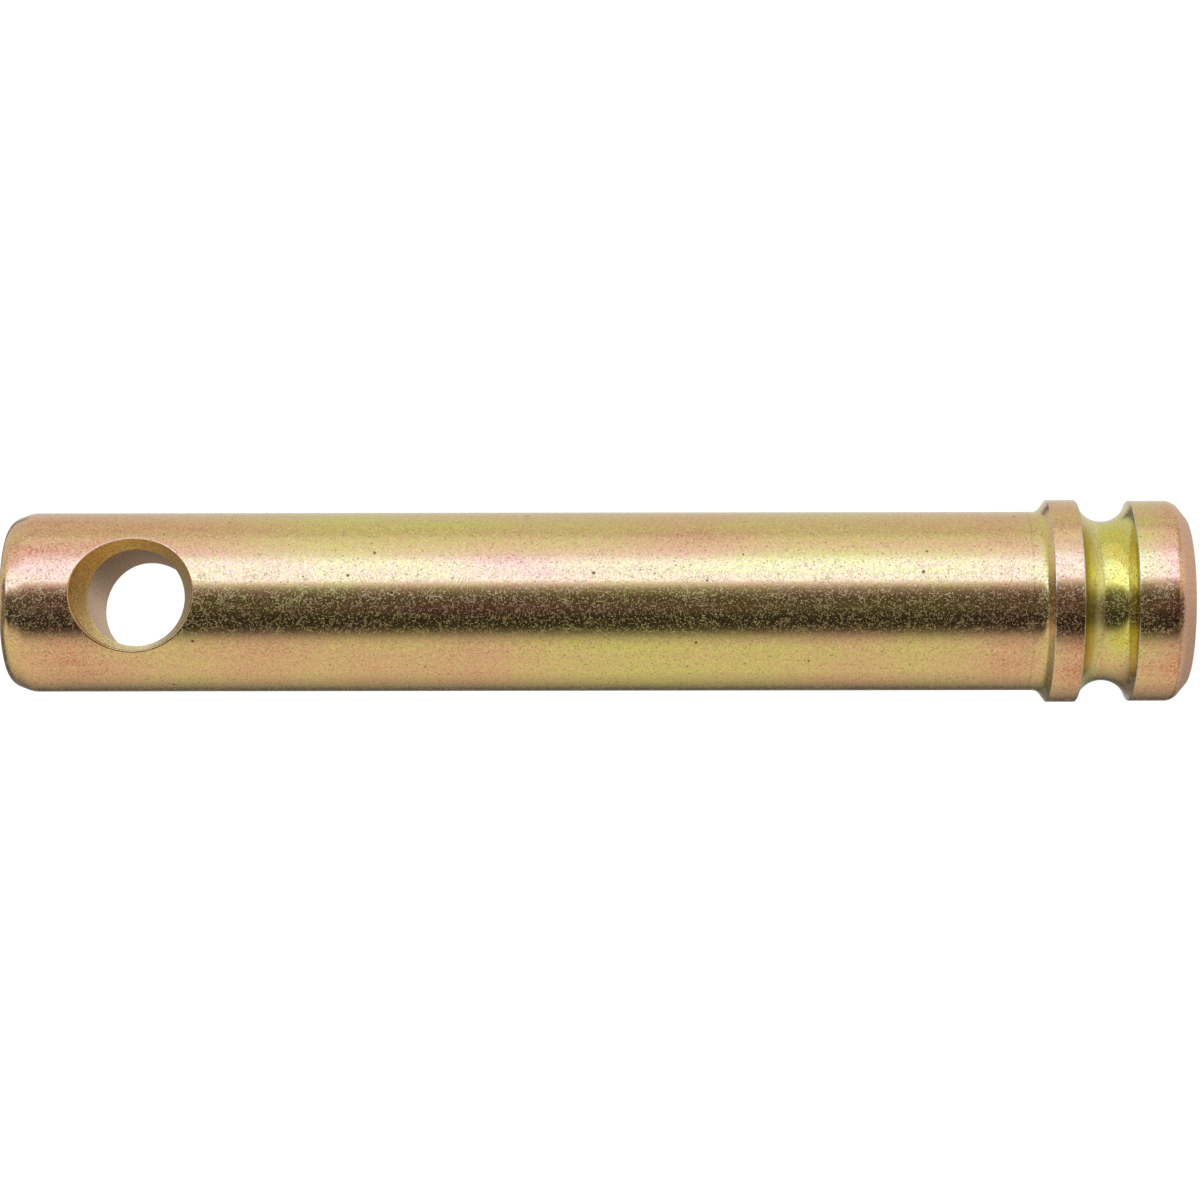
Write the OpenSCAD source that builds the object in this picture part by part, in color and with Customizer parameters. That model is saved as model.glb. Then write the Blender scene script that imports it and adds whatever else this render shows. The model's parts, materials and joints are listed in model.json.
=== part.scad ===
// Top link pin for a three-point tractor hitch, turned from one steel bar and zinc plated.
// It stands on the end face of its head: +Z runs up the axis to the tail, and the linch pin
// hole runs along Y. Sizes are in millimetres.

/* [Shank] */
// Diameter of the shank
shank_d = 19; // [16:0.1:20]
// Length of the shank, from the foot of the collar's lead face to the tail end
shank_l = 109.3; // [60:0.1:180]

/* [Tail] */
// Length of the tail's lead-in taper
tail_taper_l = 2.6; // [2:0.1:5]
// Depth of the taper at the tail end, on the radius
tail_taper_h = 1; // [0.4:0.1:1.6]
// Radius between the taper and the end face
tail_round = 2; // [0.2:0.1:2.2]
// Radius between the taper and the shank
tail_shoulder_round = 3; // [0.5:0.1:3]

/* [Collar] */
// Diameter of the collar
collar_d = 21.5; // [20.8:0.1:24]
// Length of the collar, from the edge of the groove to the foot of its lead face
collar_l = 3.8; // [2.6:0.1:12]
// Length of the collar's conical lead face
collar_lead_l = 0.9; // [0.6:0.1:1.8]
// Fillet at the foot of the lead face
collar_foot_round = 1.1; // [0.2:0.1:1.2]
// Radius at the top of the lead face
collar_edge_round = 0.2; // [0.1:0.1:0.4]

/* [Ring groove] */
// Diameter of the groove at its floor
groove_d = 16.9; // [14:0.1:18]
// Radius of the groove's round floor
groove_floor_round = 2.9; // [2:0.1:6]
// Radius on both edges of the groove
groove_edge_round = 0.2; // [0.1:0.1:0.8]

/* [Head] */
// Diameter of the head
head_d = 21.3; // [20.6:0.1:26]
// Length of the head, from its end face to the edge of the groove
head_l = 6; // [4:0.1:20]
// Length of the head's chamfer along the axis
head_chamfer_l = 1.6; // [1.2:0.1:2.4]
// Depth of the head's chamfer on the radius
head_chamfer_h = 1.9; // [1.5:0.1:2.6]
// Radius between the chamfer and the side of the head
head_side_round = 1.6; // [0.2:0.1:2]
// Radius between the chamfer and the end face
head_face_round = 0.9; // [0.2:0.1:1.4]

/* [Linch pin hole] */
// Diameter of the hole
hole_d = 10.2; // [6:0.1:11]
// Distance from the tail end to the axis of the hole
hole_setback = 14; // [11:0.1:30]
// Diameter of the countersink, at the crown of the shank
sink_d = 12.9; // [11.6:0.1:13.6]
// Included angle of the countersink
sink_angle = 31; // [28:1:56]

/* [Hidden] */
$fn = 120;
// Angle between neighbouring points on the outline's arcs
arc_step = 5;
// How far a drill or countersink runs past the surface that it cuts
cut_past = 1;

shank_r = shank_d / 2;
collar_r = collar_d / 2;
head_r = head_d / 2;

groove_centre_r = groove_d / 2 + groove_floor_round;
groove_z = head_l + groove_reach(head_r);
collar_foot_z = groove_z + groove_reach(collar_r) + collar_l;
overall_l = collar_foot_z + shank_l;
hole_z = overall_l - hole_setback;

// Corners of the turned outline as [radius, height], from the head's end face to the tail
head_face = [head_r - head_chamfer_h, 0];
head_side = [head_r, head_chamfer_l];
head_groove = [head_r, groove_z];
collar_groove = [collar_r, groove_z];
collar_edge = [collar_r, collar_foot_z - collar_lead_l];
collar_foot = [shank_r, collar_foot_z];
tail_shoulder = [shank_r, overall_l - tail_taper_l];
tail_face = [shank_r - tail_taper_h, overall_l];

// Direction of a vector
function unit(v) = v / norm(v);

// Points on an arc, from one angle to another
function arc(centre, radius, from, to) =
    let (steps = ceil(abs(to - from) / arc_step))
    [for (i = [0:steps]) let (t = from + (to - from) * i / steps) centre + radius * [cos(t), sin(t)]];

// The arc that rounds a corner between two straight sides of an outline
function corner_arc(before, corner, after, radius) =
    let (
        to_before = unit(before - corner),
        to_after = unit(after - corner),
        half_angle = acos(to_before * to_after) / 2,
        centre = corner + unit(to_before + to_after) * radius / sin(half_angle),
        start = corner + to_before * radius / tan(half_angle) - centre,
        from = atan2(start[1], start[0]),
        turn = sign(cross(corner - before, after - corner))
    )
    arc(centre, radius, from, from + turn * (180 - 2 * half_angle));

// How far the rounded edge of the groove turns from the rim's side before it meets the groove's wall
function groove_edge_turn(rim_r) =
    let (rise = max(0, groove_centre_r - (rim_r - groove_edge_round)))
    acos(rise / (groove_floor_round + groove_edge_round));

// How far the groove reaches from its middle to the end of its rounded edge on that rim
function groove_reach(rim_r) = (groove_floor_round + groove_edge_round) * sin(groove_edge_turn(rim_r));

// The rounded edge of the groove on one rim: side is -1 at the head and 1 at the collar
function groove_edge(rim_r, side) =
    let (
        turn = groove_edge_turn(rim_r),
        centre = [rim_r - groove_edge_round, groove_z + side * groove_reach(rim_r)]
    )
    side < 0 ? arc(centre, groove_edge_round, 0, turn) : arc(centre, groove_edge_round, -turn, 0);

// The groove's round floor, with straight walls above it where the groove is deep
function groove_floor() =
    arc(
        [groove_centre_r, groove_z],
        groove_floor_round,
        180 + groove_edge_turn(head_r),
        180 - groove_edge_turn(collar_r)
    );

// Half of the turned outline, from the head's end face up to the tail, with the axis on its left
module turned_section() {
    polygon(concat(
        [[0, 0]],
        corner_arc([0, 0], head_face, head_side, head_face_round),
        corner_arc(head_face, head_side, head_groove, head_side_round),
        groove_edge(head_r, -1),
        groove_floor(),
        groove_edge(collar_r, 1),
        corner_arc(collar_groove, collar_edge, collar_foot, collar_edge_round),
        corner_arc(collar_edge, collar_foot, tail_shoulder, collar_foot_round),
        corner_arc(collar_foot, tail_shoulder, tail_face, tail_shoulder_round),
        corner_arc(tail_shoulder, tail_face, [0, overall_l], tail_round),
        [[0, overall_l]]
    ));
}

// The linch pin hole through the shank, countersunk on the side that the linch pin goes in from.
// The countersink runs on past the wall of the hole and past the crown of the shank.
module linch_pin_hole() {
    slope = tan(sink_angle / 2);
    past_r = cut_past * slope;
    sink_l = (sink_d - hole_d) / 2 / slope + 2 * cut_past;
    translate([0, 0, hole_z]) rotate([90, 0, 0]) {
        cylinder(h = shank_d + 2 * cut_past, d = hole_d, center = true);
        translate([0, 0, shank_r + cut_past - sink_l])
            cylinder(h = sink_l, r1 = hole_d / 2 - past_r, r2 = sink_d / 2 + past_r);
    }
}

module pin() {
    color("#b79a55") difference() {
        rotate_extrude() turned_section();
        linch_pin_hole();
    }
}

pin();
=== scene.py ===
import json
import math
import bmesh
import bpy
import numpy as np
from mathutils import Matrix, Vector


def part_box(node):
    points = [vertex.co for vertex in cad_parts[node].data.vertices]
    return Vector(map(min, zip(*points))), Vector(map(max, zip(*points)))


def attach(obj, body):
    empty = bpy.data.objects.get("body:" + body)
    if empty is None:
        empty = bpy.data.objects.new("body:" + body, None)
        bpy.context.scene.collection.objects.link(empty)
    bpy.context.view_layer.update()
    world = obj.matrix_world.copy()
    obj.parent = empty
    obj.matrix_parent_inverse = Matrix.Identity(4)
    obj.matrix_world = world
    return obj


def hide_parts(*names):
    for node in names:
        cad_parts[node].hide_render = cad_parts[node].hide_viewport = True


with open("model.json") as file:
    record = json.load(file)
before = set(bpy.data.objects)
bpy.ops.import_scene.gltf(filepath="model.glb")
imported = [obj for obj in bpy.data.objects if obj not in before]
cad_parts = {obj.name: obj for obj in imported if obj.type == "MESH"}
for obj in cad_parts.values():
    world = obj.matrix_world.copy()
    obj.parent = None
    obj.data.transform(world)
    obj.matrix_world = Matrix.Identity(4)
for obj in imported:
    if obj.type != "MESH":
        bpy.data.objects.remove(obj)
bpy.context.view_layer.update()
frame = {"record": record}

# The pin: one steel bar, turned in one setting to a plain shank with a rounded tail, a collar,
# a round-bottomed ring groove and a chamfered head, then cross drilled near the tail.
# Sizes are in millimetres, and MM takes them to metres when the mesh is made.
MM = 0.001
mounts = {mount["name"]: mount for mount in frame["record"]["mounts"]}
highest = np.array(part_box("pin")[1]) / MM
overall_l = highest[2]
collar_r = max(highest[0], highest[1])
shank_r = mounts["shank"]["dims"]["r_mm"]

head_r = 10.65
head_l = 6.0
head_chamfer_l = 1.6
head_chamfer_h = 1.9
head_side_round = 1.6
head_face_round = 0.9
groove_floor_r = 8.45
groove_floor_round = 2.9
groove_edge_round = 0.2
collar_l = 3.8
collar_lead_l = 0.9
collar_edge_round = 0.2
collar_foot_round = 1.1
tail_taper_l = 2.6
tail_taper_h = 1.0
tail_shoulder_round = 3.0
tail_round = 2.0

ARC_STEP = math.radians(4)
AROUND = 192
SHANK_STEP = 1.0


def arc(centre, radius, start, stop):
    """Points at one radius from a centre, at even angles from start to stop, as [radius, height]."""
    steps = max(2, math.ceil(abs(stop - start) / ARC_STEP))
    angle = np.linspace(start, stop, steps + 1)[:, None]
    return np.asarray(centre) + radius * np.hstack([np.cos(angle), np.sin(angle)])


def corner_arc(before, corner, after, radius):
    """The arc that touches both sides of a corner: its centre lies on the line that halves the corner,
    at the radius divided by the sine of half the corner's angle."""
    before, corner, after = (np.asarray(point, float) for point in (before, corner, after))
    back = (before - corner) / np.linalg.norm(before - corner)
    ahead = (after - corner) / np.linalg.norm(after - corner)
    half = math.acos(back @ ahead) / 2
    centre = corner + (back + ahead) / np.linalg.norm(back + ahead) * radius / math.sin(half)
    start = corner + back * radius / math.tan(half) - centre
    first = math.atan2(start[1], start[0])
    side = np.sign(back[1] * ahead[0] - back[0] * ahead[1])
    return arc(centre, radius, first, first + side * (math.pi - 2 * half))


def groove_edge_turn(rim_r):
    """How far a rounded groove edge turns: its centre and the groove's centre are the two radii apart,
    so the cosine is their difference in radius over that distance."""
    rise = groove_floor_r + groove_floor_round - (rim_r - groove_edge_round)
    return math.acos(max(0, rise) / (groove_floor_round + groove_edge_round))


def groove_reach(rim_r):
    """How far the groove reaches from its middle to the end of its rounded edge on that rim."""
    return (groove_floor_round + groove_edge_round) * math.sin(groove_edge_turn(rim_r))


def groove_edge(rim_r, side):
    """The rounded edge of the groove on one rim: side is -1 at the head and 1 at the collar."""
    turn = groove_edge_turn(rim_r)
    centre = (rim_r - groove_edge_round, groove_z + side * groove_reach(rim_r))
    start, stop = (0, turn) if side < 0 else (-turn, 0)
    return arc(centre, groove_edge_round, start, stop)


groove_z = head_l + groove_reach(head_r)
collar_foot_z = groove_z + groove_reach(collar_r) + collar_l
head_face = (head_r - head_chamfer_h, 0)
head_side = (head_r, head_chamfer_l)
head_groove = (head_r, groove_z)
collar_groove = (collar_r, groove_z)
collar_edge = (collar_r, collar_foot_z - collar_lead_l)
collar_foot = (shank_r, collar_foot_z)
tail_shoulder = (shank_r, overall_l - tail_taper_l)
tail_face = (shank_r - tail_taper_h, overall_l)
groove_floor = arc((groove_floor_r + groove_floor_round, groove_z), groove_floor_round,
                   math.pi + groove_edge_turn(head_r), math.pi - groove_edge_turn(collar_r))
foot_fillet = corner_arc(collar_edge, collar_foot, tail_shoulder, collar_foot_round)
head_rim = groove_edge(head_r, -1)
collar_rim = groove_edge(collar_r, 1)
lead_rim = corner_arc(collar_groove, collar_edge, collar_foot, collar_edge_round)

# The linch pin hole, drilled through the steel of the tail and countersunk on the near side. A window of
# the shank around each mouth is left out of the turned surface, and is made with the hole.
hole_r = mounts["linch_pin_hole"]["dims"]["r_mm"]
hole_z = mounts["linch_pin_hole"]["pos_m"][2] / MM
sink_r = 6.45
sink_angle = 31
sink_slope = math.tan(math.radians(sink_angle / 2))
lip_round = 0.22
bore_edge_round = 0.12
window_h = 8.6

# Turns of substitution that find the lip, and the rows of points in each part of a mouth
LIP_TURNS = 30
LAND_ROWS = 15
LAND_CROWDING = 1.4
LIP_STEPS = 6
BORE_EDGE_STEPS = 3
WALL_ROWS = 7

window_low, window_high = hole_z - window_h, hole_z + window_h
shank_foot = foot_fillet[-1, 1]
shank_heights = np.linspace(shank_foot, window_low, math.ceil((window_low - shank_foot) / SHANK_STEP))

below_hole = np.vstack([
    [(0, 0)],
    corner_arc((0, 0), head_face, head_side, head_face_round),
    corner_arc(head_face, head_side, head_groove, head_side_round),
    head_rim,
    groove_floor,
    collar_rim,
    lead_rim,
    foot_fillet,
    np.column_stack([np.full(len(shank_heights) - 1, shank_r), shank_heights[1:]]),
])
above_hole = np.vstack([
    [(shank_r, window_high)],
    corner_arc(collar_foot, tail_shoulder, tail_face, tail_shoulder_round),
    corner_arc(tail_shoulder, tail_face, (0, overall_l), tail_round),
    [(0, overall_l)],
])


def turned(outline):
    """The outline carried once round the Z axis: x and y are its radius times the cosine and sine."""
    angle = np.linspace(-math.pi, math.pi, AROUND, endpoint=False)
    radius, height = outline[:, :1], outline[:, 1:]
    return np.stack([radius * np.cos(angle), radius * np.sin(angle), height + 0 * angle], axis=-1)


def shank_depth(across):
    """How far the shank's surface lies from the pin's axis, along the hole, at a distance across from it."""
    return np.sqrt(np.maximum(shank_r ** 2 - across ** 2, 0))


def on_shank(across, up):
    """The point on the near half of the shank at that distance across and up from the hole's axis."""
    return np.stack([across, -shank_depth(across), hole_z + up], axis=-1)


def in_hole(spoke, distance, depth):
    """The point at a distance from the hole's axis along each spoke, and at a depth from the pin's axis."""
    across, up = distance * np.cos(spoke), distance * np.sin(spoke)
    return np.stack([across, -depth + 0 * spoke, hole_z + up], axis=-1)


def bend(start, corner, stop, steps):
    """Rows on the quadratic curve that leaves start towards the corner and comes in to stop from it."""
    t = np.linspace(0, 1, steps + 1)[:, None, None]
    return (1 - t) ** 2 * start + 2 * t * (1 - t) * corner + t ** 2 * stop


def mouth(mouth_r, slope, edge_depth):
    """One mouth of the hole, from the window's edge in to the middle of the bore. Each spoke runs from a
    point on the edge of the unrolled window straight to the lip. The lip is where the mouth's cone, whose
    radius shrinks with depth by the slope, meets the shank, found by substituting one into the other.
    The cone ends in the bore at edge_depth. With no slope, the bore itself meets the shank."""
    half = AROUND // 2
    rows = math.ceil(2 * window_h / (math.pi * shank_r / half))
    girth = np.linspace(-math.pi / 2, math.pi / 2, half + 1)
    rise = np.linspace(-window_h, window_h, rows + 1)
    right, left = np.full(rows, math.pi / 2), np.full(rows, -math.pi / 2)
    bottom, top = np.full(half, -window_h), np.full(half, window_h)
    girth = np.concatenate([girth[:-1], right, girth[:0:-1], left])
    rise = np.concatenate([bottom, rise[:-1], top, rise[:0:-1]])
    spoke = np.arctan2(rise, girth * shank_r)
    lip = np.full_like(spoke, mouth_r)
    for _ in range(LIP_TURNS):
        lip = mouth_r - slope * (shank_r - shank_depth(lip * np.cos(spoke)))
    outside = lip + lip_round
    share = np.linspace(1, 0, LAND_ROWS)[:, None] ** LAND_CROWDING
    arc_in = np.arcsin(outside * np.cos(spoke) / shank_r)
    land = on_shank(shank_r * np.sin(arc_in + share * (girth - arc_in)),
                    outside * np.sin(spoke) + share * (rise - outside * np.sin(spoke)))
    lip_depth = shank_depth(lip * np.cos(spoke))
    lip_rows = bend(land[-1], in_hole(spoke, lip, lip_depth),
                    in_hole(spoke, lip - lip_round * slope, lip_depth - lip_round), LIP_STEPS)
    edge_out = in_hole(spoke, hole_r + bore_edge_round * slope, edge_depth + bore_edge_round)
    edge_rows = bend(edge_out, in_hole(spoke, hole_r, edge_depth),
                     in_hole(spoke, hole_r, edge_depth - bore_edge_round), BORE_EDGE_STEPS)
    step = np.linspace(0, 1, WALL_ROWS)[:, None, None]
    cone_rows = lip_rows[-1] + step * (edge_out - lip_rows[-1])
    bore_rows = edge_rows[-1] + step * (in_hole(spoke, hole_r, 0) - edge_rows[-1])
    return np.concatenate([land, lip_rows[1:], cone_rows[1:], edge_rows[1:], bore_rows[1:]])


def round_faces(rows, columns, first):
    """Four-sided faces between neighbouring rows of points that close on themselves."""
    row, column = np.meshgrid(np.arange(rows - 1), np.arange(columns), indexing="ij")
    here, beside = row * columns + column, row * columns + (column + 1) % columns
    return first + np.stack([here, beside, beside + columns, here + columns], axis=-1).reshape(-1, 4)


sink_end = shank_r + (hole_r - sink_r) / sink_slope
plain_end = shank_depth(hole_r) - 2 * lip_round
near_mouth = mouth(sink_r, sink_slope, sink_end)
far_mouth = mouth(hole_r, 0, plain_end) * (1, -1, 1)
surfaces = [turned(below_hole), turned(above_hole), near_mouth, far_mouth]
points = np.concatenate([surface.reshape(-1, 3) for surface in surfaces])
starts = np.cumsum([0] + [surface.shape[0] * surface.shape[1] for surface in surfaces])
faces = np.concatenate([round_faces(*surface.shape[:2], first)
                        for surface, first in zip(surfaces, starts)])

MERGE_WITHIN = 0.002
pin_mesh = bpy.data.meshes.new("turned_pin")
pin_mesh.from_pydata(points * MM, [], faces)
joined = bmesh.new()
joined.from_mesh(pin_mesh)
bmesh.ops.remove_doubles(joined, verts=joined.verts, dist=MERGE_WITHIN * MM)
bmesh.ops.recalc_face_normals(joined, faces=joined.faces)
joined.to_mesh(pin_mesh)
joined.free()
pin_mesh.polygons.foreach_set("use_smooth", np.ones(len(pin_mesh.polygons), bool))
pin = bpy.data.objects.new("turned_pin", pin_mesh)
bpy.context.scene.collection.objects.link(pin)

# Where the chromate film is thinner or thicker, as on the photographed pin. Each soft patch has its
# height, its angle round the pin from the side that faces -Y, its half length, its half spread in
# degrees, and how far it shifts the film: below 0 to salmon, above 0 to yellow-green.
film_patches = [
    (118, -48, 8, 45, -0.28), (97, -48, 6, 32, -0.22), (86, -46, 5, 30, -0.12), (75, -48, 5, 30, -0.22),
    (57, -48, 14, 36, 0.12), (35, -46, 5, 30, -0.13), (19.5, -46, 3.5, 60, -0.26),
    (113, 50, 12, 40, -0.24), (89, 52, 5, 32, 0.12), (78, 50, 6, 32, 0.10), (53, 50, 4.5, 32, -0.22),
    (20, 52, 3.5, 34, -0.12), (118, 20, 8, 16, -0.06), (74, 20, 8, 13, -0.16), (32, 20, 18, 15, 0.10),
    (54, 30, 6, 9, -0.14), (121, 45, 4, 50, -0.12),
    (73, -10.5, 14, 2.6, -0.32), (15.6, 0, 0.6, 150, 0.2), (13.3, 0, 2.0, 130, -0.34),
    (3.2, -45, 2.6, 50, -0.36), (3.2, 45, 2.6, 50, -0.3), (7.6, -30, 1.7, 14, 0.40), (8.0, 18, 2.0, 34, 0.5),
    (8.4, 65, 2.6, 30, 0.2), (11.2, -45, 1.5, 30, -0.28),
]
place = np.empty(len(pin_mesh.vertices) * 3)
pin_mesh.vertices.foreach_get("co", place)
x, y, z = place.reshape(-1, 3).T / MM
round_pin = np.degrees(np.arctan2(x, -y))
film = np.full(len(x), 0.5)
for patch_z, patch_turn, half_length, half_spread, shift in film_patches:
    turned_by = (round_pin - patch_turn + 180) % 360 - 180
    film += shift * np.exp(-((z - patch_z) / half_length) ** 2 - (turned_by / half_spread) ** 2)
from_axis, from_hole = np.hypot(x, y), np.hypot(x, z - hole_z)
in_window = (abs(z - hole_z) < window_h) & (from_axis < shank_r - lip_round / 2)
in_bore = from_hole < hole_r + bore_edge_round * sink_slope / 2
rims = np.vstack([rim[1:-1] for rim in (head_rim, collar_rim, lead_rim)])
to_rim = np.hypot(from_axis[:, None] - rims[:, 0], z[:, None] - rims[:, 1]).min(axis=1)

# The zones that the plating reads, each from 0 to 1 over the surface: the film's level, the bore, the
# countersink, the head's chamfer, the collar's wall of the groove, and the worn rims.
blast_past, blast_fade = 0.3, 0.5
wall_start, wall_fade, wall_clear = 0.6, 0.6, 0.02
rim_near = 0.01
up_wall = np.clip((z - groove_z - wall_start) / wall_fade, 0, 1)
film_zones = {
    "film": film,
    "bore": in_window & in_bore,
    "sink": in_window & ~in_bore,
    "blasted": np.clip((head_chamfer_l + blast_past - z) / blast_fade, 0, 1),
    "wall": up_wall * ((z < collar_edge[1]) & (from_axis < collar_r - wall_clear)),
    "rim": to_rim < rim_near,
}
for name, values in film_zones.items():
    zone_data = pin_mesh.attributes.new(name, "FLOAT", "POINT").data
    zone_data.foreach_set("value", np.asarray(values, np.float32))


def linear(hex_colour):
    """An sRGB hex colour as linear red, green, blue and alpha."""
    srgb = np.array([int(hex_colour[i:i + 2], 16) for i in (1, 3, 5)]) / 255
    return (*np.where(srgb <= 0.04045, srgb / 12.92, ((srgb + 0.055) / 1.055) ** 2.4), 1.0)


def add_node(tree, kind, links=None, out=0, stops=None, **settings):
    """Adds a node, sets its properties, fills a ramp's stops, links or sets its sockets, and gives
    back one of its outputs."""
    node = tree.nodes.new("ShaderNode" + kind)
    for name, value in settings.items():
        setattr(node, name, value)
    for index, (place, colour) in enumerate((stops or {}).items()):
        ramp = node.color_ramp.elements
        stop = ramp[index] if index < 2 else ramp.new(place)
        stop.position, stop.color = place, linear(colour)
    for socket, source in (links or {}).items():
        if isinstance(source, bpy.types.NodeSocket):
            tree.links.new(source, node.inputs[socket])
        else:
            node.inputs[socket].default_value = source
    return node.outputs[out] if node.outputs else None


# Yellow zinc chromate on turned steel. The film is thin enough to show interference colours, so the gold
# drifts to salmon and yellow-green. The zinc under it is a crystalline grain that breaks reflections into
# glints, with a few dark pits. The drilled bore took little plating, so it is duller and greyer.
plating = bpy.data.materials.new("yellow_zinc_chromate")
plating.use_nodes = True
tree = plating.node_tree
tree.nodes.clear()

coord = add_node(tree, "TexCoord", out="Object")
height = add_node(tree, "SeparateXYZ", {0: coord}, out="Z")
zone = {name: add_node(tree, "Attribute", out="Fac", attribute_name=name) for name in film_zones}

# The size of each pattern's lumps in millimetres, over all or along X, Y and Z, then its detail,
# roughness and twist. Real zinc grain is far finer than a pixel and would not show, so the mottle,
# flecks and grain are drawn at about a quarter of a millimetre.
patterns = {
    "drift": ((9, 9, 16), 3, 0.6, 0),
    "streak": ((2.2, 2.2, 26), 3, 0.6, 0),
    "mottle": (0.24, 3, 0.65, 0),
    "fleck": (0.22, 1, 0.6, 1.2),
    "fleck_crowd": (0.9, 1, 0.6, 0),
    "grain": (0.25, 2, 0.6, 0),
    "scratch_curl": (2.2, 0, 0.6, 0),
    "scratch_length": (0.9, 0, 0.6, 0),
    "tool_mark": ((6, 6, 0.16), 1, 0.6, 0),
}
noise = {}
for name, (size, detail, rough, twist) in patterns.items():
    scaled = add_node(tree, "Mapping", {"Vector": coord, "Scale": 1 / (np.ones(3) * size * MM)})
    noise[name] = add_node(tree, "TexNoise", {"Vector": scaled, "Scale": 1, "Detail": detail,
                                              "Roughness": rough, "Distortion": twist}, out="Fac")

# The film's thickness: the patches, and noise whose mean of a half is taken off again
film_weights = {"drift": 0.45, "streak": 0.6, "mottle": 1.5}
film_level = zone["film"]
for name, weight in film_weights.items():
    film_level = add_node(tree, "Math", {0: noise[name], 1: weight, 2: film_level}, operation="MULTIPLY_ADD")
film_level = add_node(tree, "Math", {0: film_level, 1: sum(film_weights.values()) / 2}, operation="SUBTRACT")
film_colour = add_node(tree, "ValToRGB", {"Fac": film_level}, out="Color", stops={
    0.0: "#b87c48", 1.0: "#cbb24c", 0.1: "#cb9070", 0.28: "#d2a47a", 0.50: "#d0b073", 0.66: "#cabb6f",
    0.80: "#ccc064", 0.90: "#ccc85a"})

# Flecks in crowds, and hairline scratches where a smooth noise crosses its middle
crowding = add_node(tree, "MapRange", {"Value": noise["fleck_crowd"], "From Min": 0.35, "From Max": 0.65,
                                       "To Min": -0.035, "To Max": 0.035})
fleck = add_node(tree, "Math", {0: noise["fleck"], 1: crowding}, operation="ADD")
fleck = add_node(tree, "MapRange", {"Value": fleck, "From Min": 0.6, "From Max": 0.64})
curl = add_node(tree, "Math", {0: noise["scratch_curl"], 1: 0.5}, operation="SUBTRACT")
curl = add_node(tree, "Math", {0: curl}, operation="ABSOLUTE")
hairline = add_node(tree, "MapRange", {"Value": curl, "From Min": 0.012, "From Max": 0.006})
broken = add_node(tree, "MapRange", {"Value": noise["scratch_length"], "From Min": 0.6, "From Max": 0.62})
scratch = add_node(tree, "Math", {0: hairline, 1: broken}, operation="MULTIPLY")
stroke = add_node(tree, "Math", {0: fleck, 1: scratch}, operation="MAXIMUM")

# Ragged specks and pits: one in each cell, with a radius that is drawn by chance up to the widest
ragged = 0.16
spot_edge = 0.02
shake = add_node(tree, "TexNoise", {"Vector": coord, "Scale": 1 / (ragged * MM), "Detail": 1}, out="Color")
shaken = add_node(tree, "VectorMath", {0: shake, 1: [ragged * MM] * 3, 2: coord}, operation="MULTIPLY_ADD")
spots = {}
for name, spacing, widest in (("speck", 0.42, 0.1), ("pit", 2.2, 0.18)):
    from_middle = add_node(tree, "TexVoronoi", {"Vector": shaken, "Scale": 1 / (spacing * MM)},
                           out="Distance")
    chance = add_node(tree, "SeparateColor", {0: from_middle.node.outputs["Color"]})
    radius = add_node(tree, "Math", {0: chance, 1: widest / spacing}, operation="MULTIPLY")
    inside = add_node(tree, "Math", {0: radius, 1: from_middle}, operation="SUBTRACT")
    spots[name] = add_node(tree, "MapRange",
                           {"Value": inside, "From Min": -spot_edge, "From Max": spot_edge})

# The head's chamfer, pale and matt as if blasted, with a mottled edge, and a faint line near the collar
blast = add_node(tree, "Math", {0: noise["mottle"], 1: 1.6, 2: zone["blasted"]}, operation="MULTIPLY_ADD")
blast = add_node(tree, "MapRange", {"Value": blast, "From Min": 1.2, "From Max": 1.4})
witness_z, witness_w = 17.0, 0.16
witness = add_node(tree, "Math", {0: height, 1: witness_z * MM, 2: witness_w / 2 * MM}, operation="COMPARE")
witness = add_node(tree, "Math", {0: witness, 1: 0.25}, operation="MULTIPLY")
speck = add_node(tree, "Math", {0: spots["speck"], 1: 0.45}, operation="MULTIPLY")
worn = add_node(tree, "Math", {0: witness, 1: speck}, operation="MAXIMUM")

# What lies over the film, from the first to the last: where it is, how much of it shows, and its colour
coats = [
    (zone["wall"], 1, "#e0d080"), (zone["sink"], 1, "#ffdc84"), (zone["bore"], 1, "#d6ae86"),
    (zone["rim"], 0.5, "#b4b2a8"), (stroke, 0.45, "#dcc880"), (worn, 1, "#77603c"),
    (spots["pit"], 0.85, "#54412a"), (blast, 0.8, "#f0c0a0"),
]
for where, most, colour in coats:
    shown = add_node(tree, "Math", {0: where, 1: most}, operation="MULTIPLY")
    film_colour = add_node(tree, "Mix", {0: shown, 6: film_colour, 7: linear(colour)},
                           out=2, data_type="RGBA")
in_hole_at = add_node(tree, "Math", {0: zone["bore"], 1: zone["sink"]}, operation="MAXIMUM")
grain_depth = add_node(tree, "MapRange", {"Value": in_hole_at, "To Min": 0.7, "To Max": 1.6})
tone = add_node(tree, "Math", {0: noise["grain"], 1: 0.5}, operation="SUBTRACT")
tone = add_node(tree, "Math", {0: tone, 1: grain_depth, 2: 1.0}, operation="MULTIPLY_ADD")
film_colour = add_node(tree, "VectorMath", {0: film_colour, 1: tone}, operation="MULTIPLY")

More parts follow.
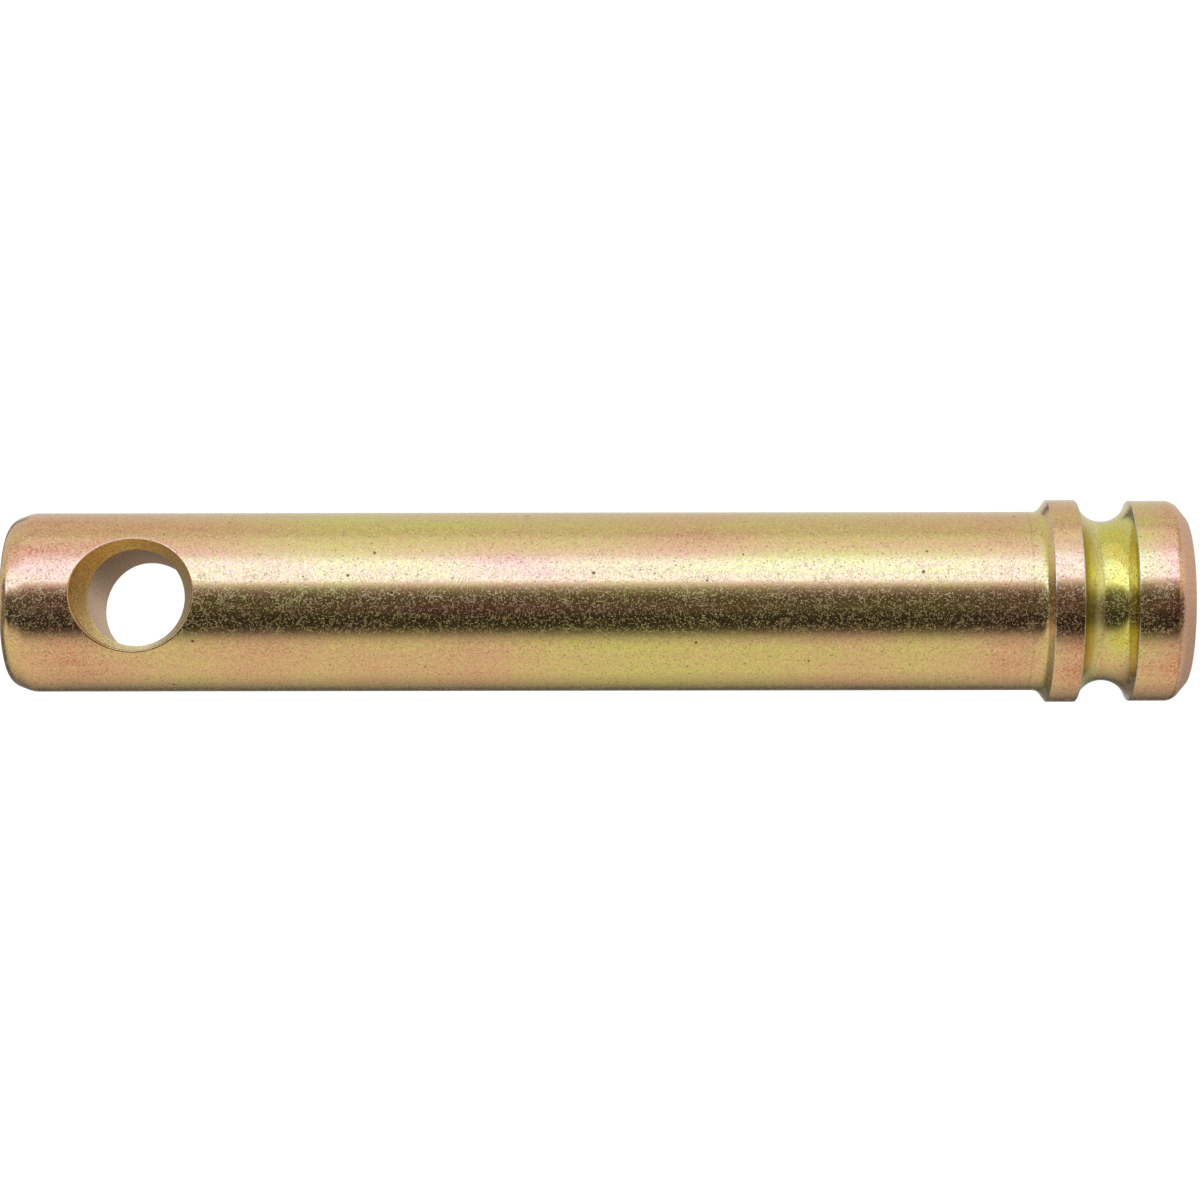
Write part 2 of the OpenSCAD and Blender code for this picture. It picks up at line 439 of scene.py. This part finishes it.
# Relief of the tool marks, strokes and spots, and roughness: the film is smooth, the rest is duller
relief_h = 0.04
film_rough, dull_rough, wall_rough = 0.1, 0.42, 0.28
sink_dullness = 0.6
sunk = add_node(tree, "Math", {0: spots["speck"], 1: spots["pit"]}, operation="MAXIMUM")
relief = add_node(tree, "Math", {0: stroke, 1: -0.15}, operation="MULTIPLY")
relief = add_node(tree, "Math", {0: noise["tool_mark"], 1: 0.1, 2: relief}, operation="MULTIPLY_ADD")
relief = add_node(tree, "Math", {0: sunk, 1: -0.8, 2: relief}, operation="MULTIPLY_ADD")
bump = add_node(tree, "Bump", {"Height": relief, "Strength": 1.0, "Distance": relief_h * MM})
roughness = add_node(tree, "MapRange", {"Value": stroke, "To Min": film_rough, "To Max": dull_rough})
dull = [(zone["bore"], dull_rough), (zone["sink"], sink_dullness * dull_rough), (blast, dull_rough),
        (zone["wall"], wall_rough)]
for where, most in dull:
    rough = add_node(tree, "Math", {0: where, 1: most}, operation="MULTIPLY")
    roughness = add_node(tree, "Math", {0: roughness, 1: rough}, operation="MAXIMUM")
surface = add_node(tree, "BsdfPrincipled",
                   {"Base Color": film_colour, "Metallic": 1.0, "Roughness": roughness, "Normal": bump})
add_node(tree, "OutputMaterial", {"Surface": surface})

pin_mesh.materials.append(plating)
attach(pin, "root")
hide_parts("pin")

# The floor: a plain pale sheet that the head stands on. It glows a little, as a lit table does,
# so that it reads white up to a faint contact shadow.
FLOOR_SIZE = 6.0
floor_drop = 0.01
floor_mesh = bpy.data.meshes.new("floor")
floor_corners = np.array([(-1, -1), (1, -1), (1, 1), (-1, 1)]) * FLOOR_SIZE / 2
floor_mesh.from_pydata(np.column_stack([floor_corners, np.full(4, -floor_drop * MM)]), [], [(0, 1, 2, 3)])
floor = bpy.data.objects.new("floor", floor_mesh)
bpy.context.scene.collection.objects.link(floor)
paper = bpy.data.materials.new("pale_paper")
paper.use_nodes = True
paper_surface = paper.node_tree.nodes["Principled BSDF"]
paper_surface.inputs["Base Color"].default_value = linear("#707070")
paper_surface.inputs["Roughness"].default_value = 1.0
paper_surface.inputs["Specular IOR Level"].default_value = 0.0
paper_surface.inputs["Emission Color"].default_value = linear("#ffffff")
paper_surface.inputs["Emission Strength"].default_value = 0.95
floor_mesh.materials.append(paper)
floor.visible_glossy = False

# The camera: the photograph's view, level with the middle of the pin, with the pin's axis across the
# picture. Image right is down the pin, towards the head, so the picture is turned a quarter turn.
PICTURE = 1200
camera_distance = 390
camera_z = 59.6
camera_turn = math.radians(6.0)
camera_roll = math.radians(0.09)
focal_pixels = 3661
centre_x, centre_y = 625, 602

forward = np.array([math.sin(camera_turn), math.cos(camera_turn), 0])
up = np.array([math.cos(camera_turn), -math.sin(camera_turn), 0])
right = np.array([0, 0, -1])
rolled_right = math.cos(camera_roll) * right - math.sin(camera_roll) * up
rolled_up = math.cos(camera_roll) * up + math.sin(camera_roll) * right
camera = bpy.data.objects.new("camera", bpy.data.cameras.new("camera"))
bpy.context.scene.collection.objects.link(camera)
turn = np.eye(4)
turn[:3, 0], turn[:3, 1], turn[:3, 2] = rolled_right, rolled_up, -forward
turn[:3, 3] = (np.array([0, 0, camera_z]) - forward * camera_distance) * MM
camera.matrix_world = Matrix(turn.tolist())
camera.data.sensor_width = 36
camera.data.sensor_fit = "HORIZONTAL"
camera.data.lens = focal_pixels / PICTURE * camera.data.sensor_width
camera.data.shift_x = (PICTURE / 2 - centre_x) / PICTURE
camera.data.shift_y = (centre_y - PICTURE / 2) / PICTURE
camera.data.clip_start = 0.01
bpy.context.scene.camera = camera

# The light: a ring of tall studio panels, with levels matched to the bands of light on the photographed
# shank. Angles run from the camera, positive on the +X side: a softbox at 24 to 58 degrees, a dark camera
# side, pale walls. A plainer ring lies low down, with dark overhead and in a patch behind and above.
studio = bpy.data.worlds.new("studio")
bpy.context.scene.world = studio
studio.use_nodes = True
sky = studio.node_tree
sky.nodes.clear()
panels = {
    -180: "#7a7a78", 180: "#7a7a78", -168: "#484848", -156: "#2c2b2a", -146: "#42413e", -133: "#62605c",
    -120: "#757471", -102: "#858583", -62: "#868686", -55: "#808080", -49: "#747474", -43: "#565656",
    -37: "#323232", -31: "#1e1e1e", -22: "#191919", -14: "#252423", -6: "#332f2d", 3: "#302c2a",
    9: "#3c3a39", 17: "#5a5a5a", 23: "#8d8fa2", 28: "#b2c2ff", 36: "#acbffb", 50: "#b2c3ff",
    57: "#a6b3e4", 63: "#9a9fc2", 73: "#9597ab", 88: "#8d9199", 98: "#7e8080", 114: "#818380",
    135: "#818384", 155: "#7e7f7c"}
low_panels = {
    -180: "#707070", 180: "#707070", -150: "#505050", -110: "#777777", -62: "#777777", -47: "#636363",
    -36: "#404040", -20: "#343434", 0: "#3c3c3c", 9: "#606060", 20: "#838383", 32: "#909090", 54: "#909090",
    70: "#7c7c7c", 110: "#767676"}
way = add_node(sky, "TexCoord", out="Generated")
faced = add_node(sky, "Mapping", {"Vector": way, "Rotation": (0, 0, camera_turn)})
across = add_node(sky, "SeparateXYZ", {0: faced}, out="X")
away, upward = across.node.outputs["Y"], across.node.outputs["Z"]
towards = add_node(sky, "Math", {0: away, 1: -1.0}, operation="MULTIPLY")
angle = add_node(sky, "Math", {0: across, 1: towards}, operation="ARCTAN2")
round_ring = add_node(sky, "MapRange", {"Value": angle, "From Min": -math.pi, "From Max": math.pi})
walls, low_walls = (
    add_node(sky, "ValToRGB", {"Fac": round_ring}, out="Color",
             stops={degrees / 360 + 0.5: colour for degrees, colour in ring.items()})
    for ring in (panels, low_panels))
low = add_node(sky, "MapRange", {"Value": upward, "From Min": -0.44, "From Max": -0.5},
               interpolation_type="SMOOTHSTEP")
overhead = add_node(sky, "MapRange", {"Value": upward, "From Min": 0.93, "From Max": 0.975},
                    interpolation_type="SMOOTHSTEP")
behind = add_node(sky, "MapRange", {"Value": away, "From Min": 0.78, "From Max": 0.86})
behind_above = add_node(sky, "MapRange",
                        {"Value": upward, "From Min": 0.22, "From Max": 0.34, "To Max": behind})
shaded = add_node(sky, "Math", {0: overhead, 1: behind_above}, operation="MAXIMUM")
ring_light = add_node(sky, "Mix", {0: low, 6: walls, 7: low_walls}, out=2, data_type="RGBA")
all_light = add_node(sky, "Mix", {0: shaded, 6: ring_light, 7: linear("#404040")}, out=2, data_type="RGBA")
lit = add_node(sky, "Background", {"Color": all_light, "Strength": 4.0})
backdrop = add_node(sky, "Background", {"Color": linear("#ffffff"), "Strength": 1.05})
seen = add_node(sky, "LightPath", out="Is Camera Ray")
both = add_node(sky, "MixShader", {0: seen, 1: lit, 2: backdrop})
add_node(sky, "OutputWorld", {"Surface": both})
bpy.context.scene.view_settings.view_transform = "Standard"
